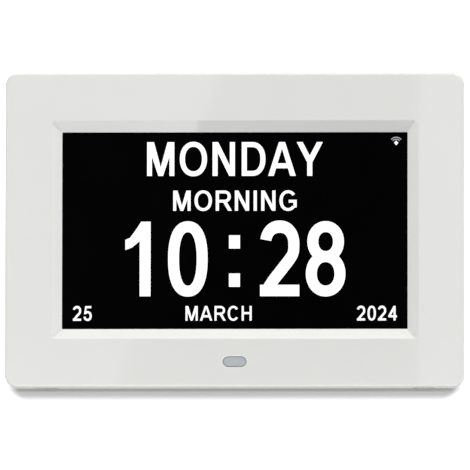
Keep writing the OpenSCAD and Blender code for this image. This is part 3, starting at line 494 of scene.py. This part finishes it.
EMPTY_AREA, MERGE_WITHIN = 1e-9, 1e-5


def flat_mesh(name, polys, y, material, depth=0.0):
    """One clean sheet, or slab, on a plane of the case, from polygons that may overlap."""
    verts, faces = [], []
    for p in polys:
        if abs(area(p)) < EMPTY_AREA:
            continue
        if area(p) < 0:
            p = list(reversed(p))
        faces.append(list(range(len(verts), len(verts) + len(p))))
        verts += [Vector(q) for q in p]
    points, _, triangles, _, _, owners = delaunay_2d_cdt(verts, [], faces, 0, MERGE_WITHIN)
    mesh = bpy.data.meshes.new(name)
    mesh.from_pydata([CASE @ Vector((q.x, y, q.y)) for q in points], [],
                     [tuple(t) for t, own in zip(triangles, owners) if own])
    mesh.materials.append(material)
    obj = bpy.data.objects.new(name, mesh)
    bpy.context.collection.objects.link(obj)
    if depth:
        solid = obj.modifiers.new("thickness", "SOLIDIFY")
        solid.thickness = depth * MM
        solid.offset = 0.0
    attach(obj, "case")


# ------------------------------------------------------ the lit calendar
# Places on the display are given in the photograph's pixels

WINDOW_LEFT_PX, WINDOW_TOP_PX = 62.4, 133.0
WINDOW_W_PX, WINDOW_H_PX = 345.2, 195.9
SCREEN_Y = GLASS_Y - 0.03


def on_screen(px, py):
    """Place in the case frame, x and z, of a pixel of the display."""
    return ((px - WINDOW_LEFT_PX) * WINDOW_W / WINDOW_W_PX - WINDOW_W / 2,
            (CASE_H + WINDOW_H) / 2 - (py - WINDOW_TOP_PX) * WINDOW_H / WINDOW_H_PX)


# Height, narrowing, upright stroke and level stroke, all as seen in the photograph
DAY_LOOK = (34.6, 0.84, 5.95, 5.9)
PART_LOOK = (21.0, 0.90, 4.05, 3.7)
DATE_LOOK = (15.5, 0.87, 2.95, 3.0)
TIME_LOOK = (75.2, 0.79, 11.8, 11.8)

# Text, the x of its left end, middle or right end, its base line, its look, and which of the three
LEFT, MIDDLE, RIGHT = 0.0, 0.5, 1.0
TIME_BASE, DATE_BASE = 296.3, 320.6
WORDS = (("MONDAY", 235.0, 176.5, DAY_LOOK, MIDDLE), ("MORNING", 235.0, 211.2, PART_LOOK, MIDDLE),
         ("25", 72.8, DATE_BASE, DATE_LOOK, LEFT), ("MARCH", 218.8, DATE_BASE, DATE_LOOK, MIDDLE),
         ("2024", 397.3, DATE_BASE, DATE_LOOK, RIGHT),
         ("1", 151.2, TIME_BASE, TIME_LOOK, RIGHT), ("0", 188.0, TIME_BASE, TIME_LOOK, MIDDLE),
         ("2", 279.8, TIME_BASE, TIME_LOOK, MIDDLE), ("8", 325.7, TIME_BASE, TIME_LOOK, MIDDLE))
COLON_LEFT, COLON_RIGHT = 229.1, 240.1
COLON_ROWS = ((235.2, 248.4), (273.2, 286.5))


def word(text, x_px, base_px, look, align):
    polys, w = line_of(text, *look)
    return [[on_screen(x_px - w * align + a, base_px - b) for a, b in p] for p in polys]


def calendar():
    polys = [poly for entry in WORDS for poly in word(*entry)]
    for top, bottom in COLON_ROWS:
        polys.append(rect(*on_screen(COLON_LEFT, bottom), *on_screen(COLON_RIGHT, top)))
    return polys


# The signal sign is a dot under two arcs, in millimetres round its own place
SIGN_X, SIGN_Z = on_screen(396.2, 143.3)
SIGN_DOT = ((0, -1.15), (0.95, 0.1), (0, 1.05), (-0.95, 0.1))
SIGN_RADII, SIGN_LOW, SIGN_LINE = (1.95, 2.85), 0.3, 0.42
SIGN_ANGLES = (40, 140)


def sign_dot():
    return [[(SIGN_X + x, SIGN_Z + z) for x, z in SIGN_DOT]]


def sign_arcs():
    return [poly for r in SIGN_RADII
            for poly in arc(SIGN_X, SIGN_Z - SIGN_LOW, r, *SIGN_ANGLES, SIGN_LINE)]


text_white = lit("display_white", (1.0, 1.0, 1.0), 1.15)
text_grey = lit("display_grey", (0.42, 0.42, 0.44), 1.0)
flat_mesh("calendar_text", calendar(), SCREEN_Y, text_white)
flat_mesh("signal_dot", sign_dot(), SCREEN_Y, text_white)
flat_mesh("signal_arcs", sign_arcs(), SCREEN_Y, text_grey)

# ----------------------------------------------------- symbols on the back
# In millimetres; each symbol stands beside its key, the upper one first

print_grey = moulded("print_grey", (0.16, 0.16, 0.165), 0.5, grain=2000.0, tint=0.05)
KEY_X, KEY_MID, KEY_PITCH, KEYS = -76.0, CASE_H / 2 + 16.5, 8.6, 7
SYMBOL_X = KEY_X + 8.4
SYMBOL_LINE = 0.32
POWER_R, MENU_HALF, MENU_PITCH, ARROW_R, CROSS_HALF = 1.15, 1.3, 0.85, 1.35, 1.0
PRINT_Y, PRINT_DEPTH = BACK_Y + 0.01, 0.03


def power_symbol(z):
    half = SYMBOL_LINE / 2
    return (arc(SYMBOL_X, z, POWER_R, 120, 420, SYMBOL_LINE)
            + [rect(SYMBOL_X - half, z + 0.25, SYMBOL_X + half, z + 1.65)])


def menu_symbol(z):
    half = SYMBOL_LINE / 2
    rows = [z + MENU_PITCH * k for k in (-1, 0, 1)]
    return [rect(SYMBOL_X - MENU_HALF, row - half, SYMBOL_X + MENU_HALF, row + half)
            for row in rows]


def arrow_symbol(z, turn):
    angles = [math.radians(turn + d) for d in (0, 125, 235)]
    return [[(SYMBOL_X + ARROW_R * math.cos(a), z + ARROW_R * math.sin(a)) for a in angles]]


def cross_symbol(z):
    left, right = SYMBOL_X - CROSS_HALF, SYMBOL_X + CROSS_HALF
    low, high = z - CROSS_HALF, z + CROSS_HALF
    return (stroke([(left, low), (right, high)], SYMBOL_LINE, SYMBOL_LINE)
            + stroke([(left, high), (right, low)], SYMBOL_LINE, SYMBOL_LINE))


def key_symbols():
    zs = [KEY_MID + ((KEYS - 1) // 2 - i) * KEY_PITCH for i in range(KEYS)]
    polys = power_symbol(zs[0]) + menu_symbol(zs[1])
    for z, turn in zip(zs[2:6], (90, 270, 180, 0)):
        polys += arrow_symbol(z, turn)
    return polys + cross_symbol(zs[6])


# Seen from behind the case, left and right change places, so the symbols are turned over
turned_symbols = [[(2 * SYMBOL_X - px, pz) for px, pz in p] for p in key_symbols()]
flat_mesh("key_symbols", turned_symbols, PRINT_Y, print_grey, PRINT_DEPTH)

# ------------------------------------------------------------------ studio
# In metres

FLOOR_HALF = 12.0
FLOOR_ALBEDO, FLOOR_ROUGH = 0.30, 0.6
BOUNCE_Z, BOUNCE_GLOW = -0.001, 0.52
# The floor's glow in the painted shadow, just outside it and far away, and where near turns into
# far
GLOW_UNDER, GLOW_NEAR, GLOW_FAR = 0.18, 0.80, 0.93
GLOW_SPREAD = (0.2, 1.6)
# The painted shadow is darkest up to its core and ends at its reach, measured from a strip as deep
# as the foot, which starts inside the clock's sides and gets shorter, by the taper, in front of
# the clock
SHADOW_CORE, SHADOW_REACH = 0.008, 0.043
SHADOW_INSET, SHADOW_FOOT, SHADOW_TAPER = 0.0075, 0.02, 0.1
SHADOW_SQUEEZE = (7.0, 4.5)  # sideways, in front of the foot and behind it


def plain(name, color, rough, emission=0.0):
    mat = new_material(name)
    set_sockets(shader(mat), Base_Color=(*color, 1), Roughness=rough, Specular_IOR_Level=0.2,
                Emission_Color=(1, 1, 1, 1), Emission_Strength=emission)
    return mat


def sheet(name, points, mat):
    """One flat face for the studio."""
    mesh = bpy.data.meshes.new(name)
    mesh.from_pydata(points, [], [tuple(range(len(points)))])
    mesh.materials.append(mat)
    obj = bpy.data.objects.new(name, mesh)
    bpy.context.collection.objects.link(obj)
    return obj


def level(x0, x1, y0, y1, z):
    return [(x0, y0, z), (x1, y0, z), (x1, y1, z), (x0, y1, z)]


def math_node(mat, operation, a, b=None):
    """A Math node; a and b are sockets or numbers."""
    n = node(mat, "ShaderNodeMath")
    n.operation = operation
    for socket, value in zip(n.inputs, (a, b)):
        if hasattr(value, "links"):
            link(mat, value, socket)
        elif value is not None:
            socket.default_value = value
    return n.outputs["Value"]


def fade(owner, value, start, end, low, high, kind="SMOOTHSTEP"):
    """From low to high while the value goes from start to end."""
    n = node(owner, "ShaderNodeMapRange", From_Min=start, From_Max=end, To_Min=low, To_Max=high)
    n.interpolation_type = kind
    link(owner, value, n.inputs["Value"])
    return n.outputs["Result"]


def apart(mat, value, middle):
    return math_node(mat, "ABSOLUTE", math_node(mat, "SUBTRACT", value, middle))


def beyond(mat, value, edge):
    return math_node(mat, "MAXIMUM", math_node(mat, "SUBTRACT", value, edge), 0.0)


def shadow_distance(mat):
    """Distance, for the painted shadow, from the strip under the clock's foot; it grows faster
    sideways.
    """
    xyz = node(mat, "ShaderNodeSeparateXYZ")
    link(mat, coords(mat), xyz.inputs["Vector"])
    (x0, y0, _), (x1, _, _) = cad_box
    half_foot = SHADOW_FOOT / 2
    front = beyond(mat, apart(mat, xyz.outputs["Y"], y0 + half_foot), half_foot)
    x = math_node(mat, "ADD", apart(mat, xyz.outputs["X"], (x0 + x1) / 2),
                  math_node(mat, "MULTIPLY", front, SHADOW_TAPER))
    squeeze = fade(mat, xyz.outputs["Y"], y0, y0 + 2 * SHADOW_FOOT, *SHADOW_SQUEEZE)
    side = math_node(mat, "MULTIPLY", beyond(mat, x, (x1 - x0) / 2 - SHADOW_INSET), squeeze)
    return math_node(mat, "SQRT", math_node(mat, "ADD", math_node(mat, "MULTIPLY", side, side),
                                            math_node(mat, "MULTIPLY", front, front)))


def glowing_floor(name):
    """A pale table lit from inside, with a soft shadow painted into its glow round the clock's
    foot.
    """
    mat = plain(name, grey(FLOOR_ALBEDO), FLOOR_ROUGH)
    distance = shadow_distance(mat)
    # Painted shadow: less glow near the clock's foot, more further out
    near = fade(mat, distance, SHADOW_CORE, SHADOW_REACH, GLOW_UNDER, GLOW_NEAR)
    far = fade(mat, distance, *GLOW_SPREAD, 0.0, GLOW_FAR - GLOW_NEAR)
    link(mat, math_node(mat, "ADD", near, far), shader(mat).inputs["Emission Strength"])
    return mat


def floor_sheet(name, z, mat):
    return sheet(name, level(-FLOOR_HALF, FLOOR_HALF, -FLOOR_HALF, FLOOR_HALF, z), mat)


# The floor that shows has the painted soft shadow; the one below it only sends light up to the
# clock
floor = floor_sheet("floor", 0.0, glowing_floor("floor_painted_shadow"))
floor.visible_diffuse = False
floor.visible_glossy = False
floor.visible_shadow = False
bounce_look = plain("floor_even", grey(FLOOR_ALBEDO), FLOOR_ROUGH, BOUNCE_GLOW)
floor_sheet("floor_bounce", BOUNCE_Z, bounce_look).visible_camera = False

# The studio's light from all round, and the white that shows behind the floor's far edge
WORLD_LIGHT, WORLD_SEEN = 0.36, 1.05
world = bpy.data.worlds.new("studio")
bpy.context.scene.world = world
world.use_nodes = True
camera_ray = node(world, "ShaderNodeLightPath").outputs["Is Camera Ray"]
background = set_sockets(world.node_tree.nodes["Background"], Color=(1, 1, 1, 1))
link(world, fade(world, camera_ray, 0.0, 1.0, WORLD_LIGHT, WORLD_SEEN, "LINEAR"),
     background.inputs["Strength"])

CLOCK_MIDDLE = (0, 0, 0.07)
# Name, place, target, size and watts
LIGHTS = (("top", (0.7, -0.3, 5.2), (0, 0, 0), (3.2, 3.2), 54.0),
          ("front", (0.6, -3.2, 3.9), CLOCK_MIDDLE, (3.6, 2.8), 126.0),
          ("right", (1.6, -0.15, 0.6), CLOCK_MIDDLE, (1.2, 1.0), 5.0),
          ("left", (-1.6, -0.15, 0.6), CLOCK_MIDDLE, (1.2, 1.0), 4.2))


def area_light(name, place, target, size, watts):
    data = bpy.data.lights.new(name, "AREA")
    data.shape = "RECTANGLE"
    data.size, data.size_y = size
    data.energy = watts
    obj = bpy.data.objects.new(name, data)
    obj.location = place
    aim = Vector(target) - Vector(place)
    obj.rotation_euler = aim.to_track_quat("-Z", "Y").to_euler()
    obj.visible_camera = False
    bpy.context.collection.objects.link(obj)


for light in LIGHTS:
    area_light(*light)

# ------------------------------------------------------------------ camera

# The photograph looks almost square onto the face, from a little right and a little below
SIDE, BELOW = math.radians(0.9), math.radians(8.0)
DISTANCE = 8.0
SENSOR_MM = 36.0
CLIP_END = 50.0
# The photograph's side, and the face's width and middle in it
PHOTO_PX = 470
FACE_W_PX = 458.9
FACE_X_PX, FACE_Z_PX = 234.7, 229.3
MM_PER_PX = CASE_W * math.cos(SIDE) / FACE_W_PX
FRAME_W = PHOTO_PX * MM_PER_PX * MM


def face_point(px, py):
    """Place on the face, in metres, of a pixel of the photograph."""
    x = (px - FACE_X_PX) * MM_PER_PX / math.cos(SIDE)
    z = CASE_H / 2 - (py - FACE_Z_PX) * MM_PER_PX / math.cos(BELOW)
    return CASE @ Vector((x, 0.0, z))


def camera_turn(to_camera):
    """Level half way between the face's upright and level edges, which lean apart in this view."""
    upright = (TURN @ Vector((0, 0, 1))).cross(to_camera).normalized()
    right = TURN @ Vector((1, 0, 0))
    right = (right - right.dot(to_camera) * to_camera).normalized()
    cam_x = (upright + right).normalized()
    return Matrix((cam_x, to_camera.cross(cam_x), to_camera)).transposed().to_euler()


def make_camera():
    data = bpy.data.cameras.new("camera")
    data.sensor_width = SENSOR_MM
    data.lens = SENSOR_MM * DISTANCE / FRAME_W
    data.clip_end = CLIP_END
    obj = bpy.data.objects.new("camera", data)
    to_camera = TURN @ Vector((math.sin(SIDE) * math.cos(BELOW),
                               -math.cos(SIDE) * math.cos(BELOW), -math.sin(BELOW)))
    obj.location = face_point(PHOTO_PX / 2, PHOTO_PX / 2) + to_camera * DISTANCE
    obj.rotation_euler = camera_turn(to_camera)
    bpy.context.collection.objects.link(obj)
    return obj


camera = make_camera()
bpy.context.scene.camera = camera
bpy.context.scene.view_settings.view_transform = "Standard"

# ---------------------------------------------------------- reflection cards
# White sheets that only show in glossy surfaces


def card(name, points, glow):
    obj = sheet(name, points, plain(name + "_white", (0, 0, 0), 1.0, glow))
    for ray in ("camera", "diffuse", "transmission", "volume_scatter", "shadow"):
        setattr(obj, "visible_" + ray, False)


PANEL_AWAY = 0.3
FACE_NORMAL = TURN @ Vector((0, -1, 0))


def mirrored_place(px, py):
    """Where the camera's ray to a pixel's place on the face goes after it is mirrored there."""
    p = face_point(px, py)
    ray = (p - camera.location).normalized()
    return p + ray.reflect(FACE_NORMAL) * PANEL_AWAY


def panel_card(name, edge_px, side_px, glow):
    """A panel that the face mirrors between an edge and an upright line at its side."""
    corners = (*edge_px, (side_px, edge_px[1][1]), (side_px, edge_px[0][1]))
    card(name, [mirrored_place(*c) for c in corners], glow)


# The left panel's slanted edge shows as a faint line, and the right one lightens the right strip
panel_card("panel_left", ((240.5, 10.0), (96.6, 450.0)), -60.0, 1.0)
panel_card("panel_right", ((418.0, 10.0), (418.0, 450.0)), 530.0, 1.2)

# A bright patch of table lights the left part of the recess's upper slope, and a bright strip
# along the foot the face's rounded lower edge; both lie under the floor, which glossy rays pass
CARD_Z = -0.0005
PATCH_RIGHT = face_point(192.0, 122.0).x
FOOT_Y = cad_box[0][1]
card("table_card", level(-0.5, PATCH_RIGHT, -0.4, -0.04, CARD_Z), 2.6)
card("foot_card", level(-0.25, 0.25, FOOT_Y - 0.02, FOOT_Y - 0.0005, CARD_Z), 4.0)
# The ceiling behind the clock lights the edges that face up
CEILING_Z = 3.2
card("ceiling_card", level(-2.5, 2.5, 0.6, 3.2, CEILING_Z), 3.5)
